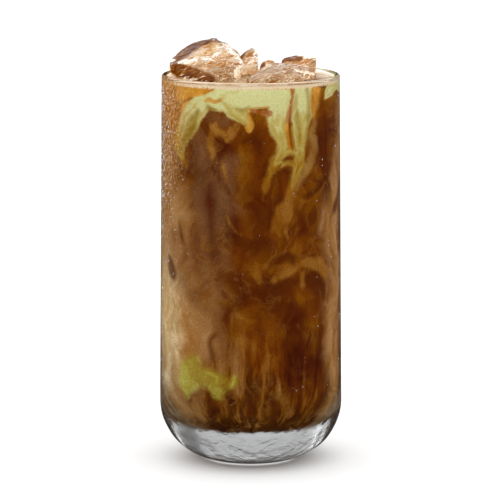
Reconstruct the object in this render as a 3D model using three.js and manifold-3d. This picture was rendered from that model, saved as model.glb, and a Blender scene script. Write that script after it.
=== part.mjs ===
// Iced matcha latte in a tall tumbler: a heavy-based glass, milky coffee filled almost to the rim,
// pale matcha that sinks down the wall in curtains, and ice that stands out of the top.
// Millimetres, +Z up. The origin is the centre of the foot, and -Y is the side towards the viewer.

import * as THREE from "three";
import { mergeVertices } from "three/addons/utils/BufferGeometryUtils.js";
import Module from "manifold-3d";

const wasm = await Module();
wasm.setup();

// Driving dimensions of the tumbler
const GLASS_HEIGHT = 146;
const RIM_RADIUS = 33.3;
const SHOULDER_RADIUS = 34.4; // where the straight wall turns into the rounded base
const WALL = 2;
const FOOT_RADIUS = 12.4;
const BASE_ROUND_HEIGHT = 22.5;
const BASE_THICKNESS = 15;
const FLOOR_ROUND = 20; // the inside corner is wide, so that the drink ends in a bowl

// Driving dimensions of the contents
const FILL_LEVEL = 144; // liquid surface, just under the rim
const GAP = 0.3; // clearance between neighbouring solids
const MATCHA_DEPTH = 3.6; // how far a matcha streak reaches inwards from the glass

// Fineness of the facets
const RING_SIDES = 60;
const LIP_STEPS = 5;
const BASE_STEPS = 8;
const FLOOR_STEPS = 8;
const STREAK_SIDES = 8;
const STREAK_STEP = 3; // length of one facet along a streak
const ICE_STEPS = 6;
const WELD = 1e-4;

// Each matcha streak is a line down the inside of the glass through points of
// [angle round the glass in degrees, height, half width]. Angle 0 faces the viewer, and 90 is +X.
const FRONT_STREAKS = {
  arch: [[-4, 139.6, 4.4], [-22, 139, 4.6], [-37, 135.5, 4.8], [-47.5, 130, 4.8], [-52, 123.5, 3.4],
    [-51, 118.5, 1.9], [-47.5, 115, 0.8]],
  crest: [[-19, 140.6, 4.2], [-2, 140.4, 4.6], [12, 140.8, 4.4]],
  nub: [[-7, 137, 3.2], [-3, 132.8, 2.2], [-0.5, 129, 0.9]],
  centre_drip: [[16, 142, 5.8], [16.5, 134, 4.8], [20, 126.5, 3.2], [18, 118, 2.4], [13, 111, 1.7],
    [7.5, 105.5, 0.9]],
  right_drip: [[36.5, 143, 4.3], [36, 133, 4.6], [34, 122, 3.6], [34.5, 115.6, 2.7], [31, 110.5, 1.9],
    [27.5, 105.5, 0.9]],
  web: [[18, 116.5, 1.7], [25, 117.8, 1.4], [33, 117.5, 1.8]],
};
const BACK_STREAKS = {
  band: [[60, 139, 2.4], [75, 141.6, 3], [100, 140.2, 4.4], [135, 139.6, 5], [170, 140.6, 4.4],
    [205, 139.4, 5], [236, 141, 3.2]],
  side_drip: [[97, 138, 4.6], [99, 128, 3], [95, 119, 1.7], [91, 113, 0.8]],
  long_drip: [[139, 138, 5], [135, 126, 4], [140, 114, 2.6], [134, 103, 0.9]],
  rear_drip: [[172, 138, 4.8], [176, 128, 3.4], [171, 118, 2], [175, 110, 0.8]],
  deep_drip: [[213, 138, 5], [210, 124, 3.8], [216, 110, 2.4], [211, 99, 0.9]],
  short_drip: [[233, 140, 3.8], [238, 131, 2.5], [235, 124, 0.8]],
};
const BLOOM_STREAKS = {
  cloud: [[-35, 43, 2.6], [-40, 38, 4.6], [-44.5, 32, 3.2], [-47.5, 26, 1]],
  wisp: [[-38, 37.5, 3.8], [-27, 34.5, 3.4], [-15, 35.5, 2.4], [-8, 37, 0.9]],
  tail: [[-24, 35, 3], [-26, 30, 2.2], [-24.5, 25.5, 0.9]],
};

// Ice blocks: half sizes, centre, turn in degrees, squareness of the corners, depth and seed of the dents.
const ICE_BLOCKS = {
  ice_left: {
    half: [12.2, 9.7, 8.1], at: [-16.5, -4.7, 148.6], turn: [24.5, -21, -35], square: 4.2, dent: 0.03, seed: 1.3,
  },
  ice_middle: {
    half: [2.3, 4.8, 9], at: [-1.7, 11.2, 145.4], turn: [17, 5.5, -41], square: 5, dent: 0.05, seed: 2.6,
  },
  ice_right: {
    half: [9.7, 11.4, 7.8], at: [13.4, -8.4, 141.3], turn: [11.5, -3, -38.5], square: 4.6, dent: 0.04, seed: 4.1,
  },
  ice_back: {
    half: [9.1, 4.6, 6.2], at: [18.1, 11.8, 144.9], turn: [-10.5, 1, -59.5], square: 4.2, dent: 0.04, seed: 5.2,
  },
  ice_small: {
    half: [3.2, 2.2, 6], at: [6.2, 8.5, 144.1], turn: [15, -5.5, -19], square: 4.6, dent: 0.05, seed: 6.4,
  },
  ice_chip: {
    half: [2.3, 1.9, 2.3], at: [20.8, -20.6, 146.9], turn: [20, 10, 35], square: 2.8, dent: 0.07, seed: 7.7,
  },
};

// Looks of the solids
const LOOKS = {
  glass: { color: 0xe6ecec, roughness: 0.03, metalness: 0, transparent: true, opacity: 0.35 },
  latte: { color: 0x6e3d12, roughness: 0.25, metalness: 0 },
  matcha: { color: 0xc9cc8a, roughness: 0.35, metalness: 0 },
  ice: { color: 0xe4d3c0, roughness: 0.08, metalness: 0, transparent: true, opacity: 0.6 },
};

// Turns a closed geometry into a solid for joining and cutting.
function solidOf(geometry) {
  const bare = new THREE.BufferGeometry();
  bare.setAttribute("position", geometry.getAttribute("position"));
  bare.setIndex(geometry.index);
  const welded = mergeVertices(bare, WELD);
  const corners = welded.index.array;
  const kept = [];
  for (let i = 0; i < corners.length; i += 3) {
    const [a, b, c] = corners.subarray(i, i + 3);
    if (a !== b && b !== c && c !== a) kept.push(a, b, c);
  }
  return new wasm.Manifold(
    new wasm.Mesh({
      numProp: 3,
      vertProperties: welded.getAttribute("position").array,
      triVerts: Uint32Array.from(kept),
    }),
  );
}

// Turns a joined or cut solid back into a geometry.
function geometryOf(solid) {
  const { vertProperties, triVerts } = solid.getMesh();
  const geometry = new THREE.BufferGeometry();
  geometry.setAttribute("position", new THREE.BufferAttribute(vertProperties, 3));
  geometry.setIndex(new THREE.BufferAttribute(triVerts, 1));
  geometry.computeVertexNormals();
  return geometry;
}

// Points of an elliptical arc in the plane of a profile, as [radius, height].
function arc(centreRadius, centreHeight, reachOut, reachUp, from, to, steps) {
  return Array.from({ length: steps + 1 }, (_, i) => {
    const angle = from + ((to - from) * i) / steps;
    return [centreRadius + reachOut * Math.cos(angle), centreHeight + reachUp * Math.sin(angle)];
  });
}

// Spins a profile of [radius, height] points round +Z.
function spin(profile) {
  const points = profile.map(([radius, height]) => new THREE.Vector2(Math.max(radius, 0), height));
  return new THREE.LatheGeometry(points, RING_SIDES).rotateX(Math.PI / 2);
}

// The outside of the wall narrows a little from the shoulder to the rim.
function outerRadius(height) {
  const share = (height - BASE_ROUND_HEIGHT) / (GLASS_HEIGHT - BASE_ROUND_HEIGHT);
  return SHOULDER_RADIUS + (RIM_RADIUS - SHOULDER_RADIUS) * share;
}

// Where the wide inside corner meets the wall, and the radius of the flat left inside it.
const BOWL_HEIGHT = BASE_THICKNESS + FLOOR_ROUND;
const BOWL_RADIUS = outerRadius(BOWL_HEIGHT) - WALL - FLOOR_ROUND;

// The half of the cavity's profile from the axis to the wall, drawn in by a clearance.
function floorProfile(clearance) {
  const round = FLOOR_ROUND - clearance;
  return [
    [0, BASE_THICKNESS + clearance],
    ...arc(BOWL_RADIUS, BOWL_HEIGHT, round, round, -Math.PI / 2, 0, FLOOR_STEPS),
  ];
}

// The radius of the drink, which stays clear of the glass.
function drinkRadius(height) {
  if (height >= BOWL_HEIGHT) return outerRadius(height) - WALL - GAP;
  return BOWL_RADIUS + Math.sqrt((FLOOR_ROUND - GAP) ** 2 - (BOWL_HEIGHT - height) ** 2);
}

function tumbler() {
  const lip = WALL / 2;
  const lipHeight = GLASS_HEIGHT - lip;
  const baseRound = SHOULDER_RADIUS - FOOT_RADIUS;
  const outside = arc(
    FOOT_RADIUS, BASE_ROUND_HEIGHT, baseRound, BASE_ROUND_HEIGHT, -Math.PI / 2, 0, BASE_STEPS,
  );
  const rim = arc(outerRadius(lipHeight) - lip, lipHeight, lip, lip, 0, Math.PI, LIP_STEPS);
  return spin([[0, 0], ...outside, ...rim, ...floorProfile(0).reverse()]);
}

// Everything that the glass holds up to the fill level, without the ice.
function filling() {
  return solidOf(spin([...floorProfile(GAP), [drinkRadius(FILL_LEVEL), FILL_LEVEL], [0, FILL_LEVEL]]));
}

// A streak: a tapered ribbon swept along the wall, with a half-round back that reaches into the drink.
function streak(points, grow) {
  const line = new THREE.CatmullRomCurve3(points.map((p) => new THREE.Vector3(...p)));
  const first = points[0];
  const last = points[points.length - 1];
  const arcLength = Math.hypot(THREE.MathUtils.degToRad(last[0] - first[0]) * RIM_RADIUS, last[1] - first[1]);
  const steps = Math.max(4, Math.round(arcLength / STREAK_STEP));
  const places = line.getPoints(steps).map(({ x: degrees, y: height, z: halfWidth }) => {
    const angle = THREE.MathUtils.degToRad(degrees);
    const outwards = new THREE.Vector3(Math.sin(angle), -Math.cos(angle), 0);
    const centre = outwards.clone().multiplyScalar(drinkRadius(height)).setZ(height);
    return { centre, outwards, halfWidth };
  });
  const positions = [];
  places.forEach(({ centre, outwards, halfWidth }, i) => {
    const before = places[Math.max(i - 1, 0)].centre;
    const after = places[Math.min(i + 1, steps)].centre;
    const across = new THREE.Vector3().crossVectors(outwards, after.clone().sub(before)).normalize();
    for (let side = 0; side < STREAK_SIDES; side++) {
      const turn = (2 * Math.PI * side) / STREAK_SIDES;
      const corner = centre
        .clone()
        .addScaledVector(across, (halfWidth + grow) * Math.cos(turn))
        .addScaledVector(outwards, (MATCHA_DEPTH + grow) * Math.sin(turn));
      positions.push(...corner);
    }
  });
  const ring = (i, side) => i * STREAK_SIDES + (side % STREAK_SIDES);
  const triangles = [];
  for (let i = 0; i < steps; i++) {
    for (let side = 0; side < STREAK_SIDES; side++) {
      triangles.push(ring(i, side), ring(i, side + 1), ring(i + 1, side + 1));
      triangles.push(ring(i, side), ring(i + 1, side + 1), ring(i + 1, side));
    }
  }
  for (let side = 1; side < STREAK_SIDES - 1; side++) {
    triangles.push(ring(0, 0), ring(0, side + 1), ring(0, side));
    triangles.push(ring(steps, 0), ring(steps, side), ring(steps, side + 1));
  }
  const geometry = new THREE.BufferGeometry();
  geometry.setAttribute("position", new THREE.Float32BufferAttribute(positions, 3));
  geometry.setIndex(triangles);
  return solidOf(geometry);
}

function joinStreaks(streaks, grow = 0) {
  return Object.values(streaks)
    .map((points) => streak(points, grow))
    .reduce((joined, next) => joined.add(next));
}

// A melted block of ice: a box drawn in to round corners, with shallow dents.
function iceBlock({ half, square, dent, seed }, grow = 0) {
  const block = new THREE.BoxGeometry(2, 2, 2, ICE_STEPS, ICE_STEPS, ICE_STEPS);
  const position = block.getAttribute("position");
  const size = new THREE.Vector3(...half).addScalar(grow);
  const point = new THREE.Vector3();
  for (let i = 0; i < position.count; i++) {
    point.fromBufferAttribute(position, i);
    const [x, y, z] = point.toArray().map(Math.abs);
    point.multiplyScalar((x ** square + y ** square + z ** square) ** (-1 / square));
    const waves = [2.3 * point.x + seed, 2.9 * point.y + 2 * seed, 3.4 * point.z + 3 * seed];
    const swell = waves.reduce((sum, wave) => sum + Math.sin(wave), 0);
    point.multiplyScalar(1 + dent * swell).multiply(size);
    position.setXYZ(i, ...point);
  }
  return block;
}

function placeIce(mesh, { at, turn }) {
  mesh.position.set(...at);
  mesh.rotation.set(...turn.map(THREE.MathUtils.degToRad));
  mesh.updateMatrix();
  return mesh;
}

function named(name, geometry, look) {
  const mesh = new THREE.Mesh(geometry, new THREE.MeshStandardMaterial(look));
  mesh.name = name;
  return mesh;
}

const drink = new THREE.Group();
const envelope = filling();
const streakSets = { matcha_front: FRONT_STREAKS, matcha_back: BACK_STREAKS, matcha_bloom: BLOOM_STREAKS };
let latte = envelope;
for (const [name, streaks] of Object.entries(streakSets)) {
  drink.add(named(name, geometryOf(joinStreaks(streaks).intersect(envelope)), LOOKS.matcha));
  latte = latte.subtract(joinStreaks(streaks, GAP));
}

const ice = new THREE.Group();
for (const [name, block] of Object.entries(ICE_BLOCKS)) {
  const mesh = placeIce(named(name, iceBlock(block), LOOKS.ice), block);
  ice.add(mesh);
  latte = latte.subtract(solidOf(iceBlock(block, GAP).applyMatrix4(mesh.matrix)));
}
drink.add(named("latte", geometryOf(latte), LOOKS.latte));

const icedMatchaLatte = new THREE.Group();
icedMatchaLatte.add(named("glass", tumbler(), LOOKS.glass), drink, ice);

export default icedMatchaLatte;
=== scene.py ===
"""Looks of the iced matcha latte: clear tumbler, marbled drink, melting ice and condensation.

Everything is placed in the CAD frame: metres, +Z up, origin at the centre of the foot, -Y towards
the viewer. Sizes are in millimetres unless a comment says metres, and angles in degrees, with 0
facing the viewer and 90 at +X. A pair such as CURTAINS says where an effect starts and where it is full.
"""

import math

import bmesh
import bpy
import numpy as np
from mathutils import Matrix, Vector, noise
from mathutils.bvhtree import BVHTree


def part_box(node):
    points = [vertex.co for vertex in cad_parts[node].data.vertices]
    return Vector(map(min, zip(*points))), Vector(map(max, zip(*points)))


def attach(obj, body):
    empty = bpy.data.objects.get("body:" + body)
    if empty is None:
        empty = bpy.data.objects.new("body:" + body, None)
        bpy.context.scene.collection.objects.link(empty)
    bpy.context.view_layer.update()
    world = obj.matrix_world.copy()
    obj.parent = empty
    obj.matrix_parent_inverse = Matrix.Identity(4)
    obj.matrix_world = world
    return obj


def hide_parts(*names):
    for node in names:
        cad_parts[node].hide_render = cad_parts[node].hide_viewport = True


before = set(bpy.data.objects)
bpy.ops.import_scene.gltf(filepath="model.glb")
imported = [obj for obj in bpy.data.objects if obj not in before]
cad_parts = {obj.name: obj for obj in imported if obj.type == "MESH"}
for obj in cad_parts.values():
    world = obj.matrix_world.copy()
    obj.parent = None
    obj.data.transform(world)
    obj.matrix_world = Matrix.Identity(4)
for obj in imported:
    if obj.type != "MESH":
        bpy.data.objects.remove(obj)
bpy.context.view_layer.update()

MM = 0.001

# Tumbler, as in the CAD
GLASS_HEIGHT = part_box("glass")[1].z / MM
SHOULDER_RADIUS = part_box("glass")[1].x / MM
RIM_RADIUS = 33.3
WALL = 2.0
FOOT_RADIUS = 12.4
BASE_ROUND_HEIGHT = 22.5
BASE_THICKNESS = 15.0
FLOOR_ROUND = 20.0
GLASS_SIDES = 192
FOOT_STEPS = 4
BASE_STEPS = 36
LIP_STEPS = 12
FLOOR_STEPS = (8, 28)  # across the flat of the floor and up its round
WALL_ROWS = 16
ROW_MARGIN = 6.0  # clear height between the rounds and the rows of the wall
LIP_MARGIN = 4.0

# Hand-pressed ripples in the thick base, as a share of its radius
RIPPLE = 0.006
RIPPLE_SCALE = 0.14
RIPPLE_SEED = 3.7
RIPPLE_HEIGHTS = (30.0, 10.0)
RIPPLE_OFF_FOOT = (0.0, 4.0)

# Drink
FILL_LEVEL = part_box("latte")[1].z / MM
INTO_WALL = 0.15  # the drink reaches this far into the glass, so that no air gap shows
MENISCUS = 0.7
CREEP_AT_GLASS = 2.2  # how far from the glass and the ice the meniscus starts to rise
CREEP_AT_ICE = 1.5
UNDER_ICE = 100.0  # heights that are clear of every block
OVER_ICE = 200.0
SWELL = 0.25
SWELL_SCALE = 0.16
SWELL_SEED = 1.9
DRINK_SIDES = 360
DRINK_FLOOR_STEPS = (6, 26)
FINE_ROW = 0.5  # wall rows where the matcha hangs
COARSE_ROW = 0.9
ROW_GAP = 0.1  # the wall's rows stop this far short of the surface
MATCHA_LOWEST = 98.0
TOP_RINGS = 45

# Layers of matcha on the wall
PATCH_MARGIN = 0.6  # rim of drink round a streak, so that its edge can blend
PATCH_SWELL = 0.25
PATCH_ROUND = 1.5  # depth inside the outline at which the swell is full
PATCH_BACK = 0.4
PATCH_CREASE = math.radians(35)
STREAK_HEIGHTS = (MATCHA_LOWEST - 4, FILL_LEVEL + 0.4)
CLOUD_HEIGHTS = (22, 52)
STREAK_REACH = 25  # no streak shows further from its line than this
FAR_OUTSIDE = -99.0

# Beads of condensation
BEADS = 1600
BEAD_SEED = 41
BEAD_HEIGHTS = (30, 143)
BEAD_SIZE = (-1.95, 0.4)  # mean and spread of the logarithm of a bead's radius
BEAD_WIDTH = (0.85, 1.15)  # this and the next three are shares of that radius
BEAD_LENGTH = (0.9, 1.3)
BEAD_DEPTH = 0.55
BEAD_LIFT = 0.1
STRAY_BEADS = 0.03  # chance of a bead where there is no mist
MISTED_ANGLE = -72
MISTED_SPREAD = 20
MISTED_HEIGHTS = (60, 110)

# Heights of the looks
CURTAINS = (60.0, 32.0)
FINGERS = (66.0, 40.0)
DARK_FRINGE = (24.0, 18.0)
MATCHA_PALER = (106.0, 139.0)
MIST_WARMER = (116.0, 136.0)
FOAM_LINE = (FILL_LEVEL - 0.9, FILL_LEVEL - 0.1)
DULL_BASE = (22.0, 12.0)
# The foot's glass is painted lighter, to lift the shade of the floor under it that shows through.
FOOT_LIFTED_FROM_SHADE = (8.0, 3.0)
STAINED_ICE = (153.0, 147.0)
THIN_STAIN = (149.0, 152.5)
CLOUD_DARKER = (-21.0, -13.0)  # across the front, along X
CURTAIN_ROUND = 0.45  # share in which the curtains follow the round of the bowl and don't hang straight

# Light: the share that comes back through the glass, the share of it that the glass throws back inside,
# the glare on the glass, and the light on what stands in the open
THROUGH_GLASS = 0.55
TRAPPED = 0.17
GLASS_GLARE = 0.004
OPEN_LIGHT = 1.45

# Stage, in metres
FLOOR_REACH = 4.0
STAGE_SIDES = 48
TRAY_RINGS = [(0.001, 0.0008), (2.0, 0.0008), (2.0, 0.9)]  # radius and height
PAD_RADIUS = 0.25
PAD_HEIGHT = 0.0006
PAD_LIGHT = 0.75
SKY_LIGHT = 1.6
CARD_DISTANCE = 2.1
CARD_STEPS = 4

# Camera, in metres, at the photograph's viewing angle
CAMERA_PLACE = (-0.00026, -1.203, 0.278)
CAMERA_DIP = 9.385
LENS = 232.9
SENSOR = 36

# Melting ice
ICE_BEVEL = 0.5
ICE_GRAIN = 0.4
ICE_FEWEST_CELLS = 24  # across a small block
ICE_FLAT = math.radians(6)  # faces this near to level with each other are one face
ICE_LEAN = math.radians(28)  # slope of the ripples and cracks
ICE_DRAWN = 0.3  # their scale along the slope
ICE_RIPPLES = [(0.5, 0.5, 0), (0.25, 1.3, 5)]  # height, scale and seed
ICE_DENTS = (0.3, 0.16, 9)
ICE_FULL_SIZE = 14.0  # smaller blocks have lower ripples
# Corners of the broken blocks. Each block is their hull, worn by melting.
ICE_CORNERS = {
    "ice_left": [
        (-31, -7.4, 149.8), (-28.3, -12, 150.1), (-21.8, -8.2, 154.1), (-13.3, -3, 158.7),
        (-29.8, -4, 151.8), (-26.6, 2, 154.7), (-22, 5, 157), (-14.1, 4, 159.6), (-8, -2.5, 156.4),
        (-4.4, 2, 154), (-2.5, -7, 150.2), (-2.9, 2, 149), (-4.7, -13, 145.8), (-14.3, -16, 145),
        (-28.6, -11, 147), (-24, -15, 145.2), (-26, 8.5, 149.5), (-14.6, 10, 154.5), (-5.5, 9, 149.5),
        (-25, -10, 139.5), (-12, -15, 138.5), (-6, -6, 138), (-9, 6, 139), (-23, 5, 140),
    ],
    "ice_middle": [
        (-5, 9, 151.4), (-0.6, 12, 154.6), (2, 13, 155.3), (3, 12, 153), (2.9, 8.5, 148.4),
        (-3.3, 5.5, 147.5), (-5.5, 11, 146), (1.5, 16, 149), (-2, 14.5, 150), (-4, 8, 139), (2, 9, 138.5),
        (0, 14, 139),
    ],
    "ice_right": [
        (-2, -14, 145.5), (6.4, -2, 149.8), (9.4, -3, 150.6), (22, -8, 149.5), (25.2, -13, 146.4),
        (0.5, -20.5, 145.2), (19.5, -21.5, 146), (12, -14, 149.7), (8, 4, 147), (20, 2, 147.5),
        (2, -16, 136), (18, -19, 137), (22, -8, 136), (10, 2, 137),
    ],
    "ice_back": [
        (11.4, 9, 150.3), (14.1, 13, 151.5), (19.7, 14, 151.7), (25, 11, 151.2), (24.8, 6.5, 148),
        (12.5, 8, 148), (23, 15, 148.5), (12, 14, 147), (20, 4, 146.5), (13, 9, 140), (23, 8, 140),
        (20, 15, 140), (17, 4, 140),
    ],
    "ice_small": [
        (3, 7, 148.6), (6.5, 10, 151.3), (9.5, 9, 150.2), (5, 4.2, 146.6), (8.8, 6, 147), (4, 11, 148),
        (8, 11.5, 147.5), (4, 6, 139.5), (8.5, 7, 139), (6, 10.5, 139),
    ],
    "ice_chip": [
        (18.5, -19.5, 146.8), (19.5, -22.3, 147.2), (22.4, -20.8, 147), (21.4, -18.6, 147.4),
        (20.2, -20.2, 149.3), (21.8, -21.2, 148.6), (20.8, -20.6, 144.6),
    ],
}
# Where clear ice shows the coffee behind it, as bands of (start, end, half width)
ICE_STAINS = {
    "ice_left": [
        ((-28.5, -12, 149.2), (-15, -16.5, 146.4), 3.3), ((-29, -5, 152), (-23, 1, 157.4), 6.6),
        ((-23, 1, 157.4), (-13, 1, 160.4), 5.8),
    ],
    "ice_middle": [((-7, 6, 150), (-4, 9, 154), 3.6)],
    "ice_right": [((20, -13, 146), (24, -12, 146), 1.6)],
    "ice_back": [((11, 11, 150.6), (17, 10, 151.2), 3)],
    "ice_small": [((4, 5, 147), (5, 8, 151), 1.3)],
    "ice_chip": [((18.8, -21.4, 146.2), (20.4, -22.4, 146.2), 0.7)],
}
# Where it is whitened, as such bands: partly frost, partly painted glints and highlights
ICE_FROST_AND_GLINTS = {
    "ice_left": [
        ((-31, -8, 149), (-29.5, -6, 151.5), 2.2), ((-8.4, -2, 157), (-3, -5, 150.4), 2.4),
        ((-3, -5, 150.4), (-4.5, -13, 146), 2.4), ((-25, -15, 146.2), (-16, -17, 145.2), 1.7),
        ((-26, -11, 151.6), (-11, -8, 154.6), 1.6), ((-19, -14, 149), (-12.5, -17, 145.2), 1.3),
    ],
    "ice_middle": [((1.5, 9, 148), (2.8, 12, 154), 1.8), ((-3, 6, 148), (2, 9, 149), 1.8)],
    "ice_right": [
        ((8, -2.5, 150.4), (22, -8, 149.8), 1.2), ((2, -12, 148), (8, -3, 150.4), 0.9),
        ((17, -15, 148.4), (24, -13, 147.4), 1.3),
    ],
    "ice_back": [((19, 13, 151.2), (25, 10, 150), 1.8)],
    "ice_small": [((5, 9, 150.6), (9, 9, 150.4), 0.8)],
    # The chip is white almost all over: a painted glint more than frost.
    "ice_chip": [
        ((18.8, -20.5, 147.2), (20.4, -20.2, 149.2), 2), ((20.4, -20.2, 149.2), (22.2, -20.6, 147.6), 2),
    ],
}

# Cards behind the glass: first and last angle, bottom and top in metres, brightness
BASE_CARDS = [
    (105, 126, 0.1, 3, 0.05),
    (128, 132, 0.5, 1.2, 6),
    (133, 152, 0.3, 3, 0.7),
    (218, 221, 0.3, 3, 6),
    (222, 225, 0.3, 3, 0.3),
    (226, 230, 0.3, 3, 6),
    (234, 255, 0.1, 3, 0.05),
]

# Tones of the wall: softness of the edge, how far wisps carry it, strength, colours of dark and light wisps
TONES = {
    "pale": (4.5, 10.0, 0.95, "9c6b38", "bb8d5c"),
    "cream": (10.0, 10.0, 1.0, "d2b47a", "ecd8aa"),
    "mauve": (4.0, 14.0, 0.7, "56341c", "744e34"),
    "tan": (1.0, 6.0, 0.85, "7e4b18", "9c692f"),
    "toffee": (1.2, 4.0, 0.75, "85582a", "a67c42"),
    "dark": (1.4, 5.0, 0.85, "401900", "5a2c02"),
    "grey": (4.5, 12.0, 0.85, "725a3e", "a48e70"),
    "amber": (1.5, 6.0, 0.9, "b87a33", "d49b48"),
    "rust": (0.35, 2.0, 0.9, "8a4a20", "b58254"),
    "honey": (0.45, 2.0, 0.85, "a8661c", "cf9440"),
}
# Streaks by tone: lines through points of (angle, height, half width). One whose half width is zero or
# less shows only as a faint trace, where wisps carry its soft edge.
STREAKS = {}
STREAKS["matcha"] = [
    [(-6, 139.4, 5.2), (-14, 139.6, 5), (-25, 139.4, 3.6), (-30, 138.8, 2.7), (-36, 136.8, 4),
     (-45, 131, 5.4), (-51.5, 124, 4.2), (-52, 119, 2.9), (-48, 115.2, 2), (-45.5, 113, 1)],
    [(-19, 140.6, 4.2), (-2, 140.4, 4.6), (12, 140.8, 4.4)],
    [(-11, 136, 3.2), (-6, 133.8, 2.4), (-2.4, 131.4, 1.5), (-0.5, 129.2, 0.7)],
    [(17, 142, 5.8), (18, 137.5, 4.4), (17.2, 132, 3.8), (19.5, 127, 3.2), (21.2, 123.6, 3), (20.4, 120, 3),
     (16.3, 116.6, 2.6), (13, 112.8, 2.2), (9.6, 107.6, 1.7), (8, 103.6, 1)],
    [(36.3, 144, 3.8), (36.3, 138, 4.1), (36, 133.7, 4.4), (34.2, 129, 3.9), (33.7, 124.6, 3.5),
     (33.6, 119.8, 2.9), (32.6, 115.4, 2.8), (29.8, 110.7, 2.1), (27.4, 106.8, 1.7), (25.6, 102.6, 0.9)],
    [(20, 119.8, 2.2), (26, 120.6, 1.9), (32, 119.6, 2.2)],
    [(18.5, 114.4, 1.2), (24, 116.2, 1.4), (29, 115.4, 1.6), (32, 113.6, 1.4)],
    [(57, 138.8, 1.2), (60, 140.2, 2), (66, 142, 2.2), (76, 143.2, 2.6), (88, 141.8, 3.6),
     (100, 140.4, 4.4), (112, 139.8, 3.4), (122, 141, 2.2), (129, 142.8, 1.2)],
    [(94, 141, 4), (98, 134, 3.8), (101, 127, 3), (97, 120, 2.6), (92, 114.5, 2.2), (90, 108, 1.2)],
    [(100, 126, 2), (106, 121, 2), (108, 114, 1.6), (105, 108, 0.9)],
    [(131, 142.8, 2), (138, 140.6, 4), (148, 139, 5.2), (160, 139.6, 4.6), (172, 140.8, 3.2),
     (182, 142.8, 1.6)],
    [(141, 139, 4), (139, 131, 3.6), (143, 123, 3.2), (148, 115, 2.8), (146, 106, 2.1), (141, 99, 1.1)],
    [(157, 136, 3.2), (162, 131.5, 2), (165, 127.6, 0.9)],
    [(168, 139, 3), (176, 134, 3.4), (180, 127.5, 3), (177, 121.5, 2.2), (170, 119, 1.2)],
    [(185, 143.2, 1.4), (194, 141.4, 3), (205, 139.8, 4.6), (216, 139.8, 4.2), (228, 141.6, 2.6),
     (238, 143.4, 1.2)],
    [(202, 139, 3.8), (204, 131, 3.8), (209, 123, 3.2), (208, 115, 2.8), (203, 107, 2.1), (201, 100, 1.1)],
    [(208, 124, 2), (214, 117, 1.9), (217, 110, 1.2)],
    [(226, 140, 3), (230, 133, 2.6), (227, 126, 1.9), (229, 119, 1)],
]
STREAKS["bloom"] = [
    [(-40, 41.5, 3.2), (-41.5, 38, 5.2), (-45, 34, 4.2), (-46.5, 29.5, 1.8), (-46.5, 26.8, 0.7)],
    [(-38, 37, 4.6), (-29, 36.6, 3.4), (-22, 35.8, 3.2), (-14.5, 35.2, 2.4), (-8.5, 35.2, 1.2)],
    [(-24, 34, 2.8), (-21, 30, 1.7), (-20, 28, 0.6)],
]
STREAKS["amber"] = [
    [(-53, 141, 2.2), (-40, 142, 2.6), (-31, 143.5, 1.9), (-24, 144.5, 0.7)],
    [(47.5, 144.6, 2.6), (48, 140, 2.6), (47, 136.8, 2.1), (45.8, 134, 1)],
    [(116, 144, 1.8), (125, 141.4, 2.8), (132, 143.8, 1.6)],
    [(182, 144.6, 1.6), (188, 142.6, 2.4), (194, 144.6, 1.2)],
    [(234, 144.4, 1.6), (243, 142.4, 2.6), (252, 143.8, 1.8), (262, 144.8, 1)],
]
STREAKS["honey"] = [
    [(-31, 138.9, 0.4), (-28, 139.6, 0.8), (-24, 138.8, 0.7), (-20, 139.5, 0.7)],
    [(-48, 140.5, 1), (-38, 142, 1.6), (-30, 143.2, 1.5), (-25, 144.2, 0.8)],
    [(-46, 138.2, 0.5), (-53, 132.9, 0.6), (-56, 126, 0.5), (-55, 121, 0.35)],
    [(-3.8, 131.2, 0.4), (-1.4, 128.8, 0.8), (0.8, 130.8, 0.8), (-0.4, 132.8, 0.6), (-1.8, 134.8, 0.5),
     (-3, 136.6, 0.3)],
    [(24.2, 130, 0.8), (24.8, 126, 0.9), (26, 122.5, 0.7), (27.8, 119.8, 0.3)],
    [(-2, 136.4, 0.3), (5, 137, 0.4), (12, 137, 0.3)],
    [(2, 144.5, 0.3), (10, 144.2, 0.5), (20, 144, 0.8), (28, 143.6, 0.5)],
    [(90, 136, 0.4), (94, 129, 0.8), (95, 122, 0.5)],
    [(133, 140, 0.4), (135, 132, 0.9), (139, 124, 0.7), (144, 116, 0.4)],
    [(151, 134.4, 0.4), (155, 132.6, 0.9), (160, 129.6, 0.6), (165, 127, 0.5)],
    [(183, 132, 0.4), (183.5, 127, 0.9), (179, 120, 0.7), (172, 117.4, 0.4)],
    [(197, 137.6, 0.4), (199, 131, 0.9), (204, 123, 0.7), (204, 115, 0.4)],
    [(220, 136.4, 0.4), (224, 136, 0.8), (226, 130, 0.5)],
]
STREAKS["olive"] = [
    [(31, 141, 0.2), (31.5, 133, 0.4), (33, 125, 0.5), (33, 119, 0.3)],
    [(-37, 134.5, 0.8), (-41.5, 130, 2), (-45.5, 125.5, 2.3), (-48, 121, 1.2)],
    [(-9, 136.4, 0.2), (-5, 136.2, 0.6), (-1, 137.4, 0.2)],
    [(39.5, 143, 0.5), (41, 137, 1), (40.5, 131, 0.8), (37.5, 125, 0.4)],
    [(-29, 137.4, 0.3), (-27, 136, 0.8), (-24, 135.8, 0.3)],
    [(97, 135, 0.8), (99.5, 128, 1.6), (97, 120, 0.9)],
    [(142, 133, 0.8), (141.5, 127, 1.8), (146, 117, 1.1)],
    [(150, 137.4, 0.6), (157, 136, 1.4), (163, 137.4, 0.6)],
    [(176, 132.6, 0.6), (178.5, 127, 1.4), (174, 121, 0.6)],
    [(204, 132, 0.8), (207.5, 123, 1.6), (206.5, 114, 1)],
]
# Where beads of condensation are painted on the wall as a speckle, with their glints.
STREAKS["damp_and_glinting"] = [
    [(-76, 145, 10), (-75, 128, 10), (-79, 108, 7), (-86, 90, 5), (-88, 70, 3)],
]
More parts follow.
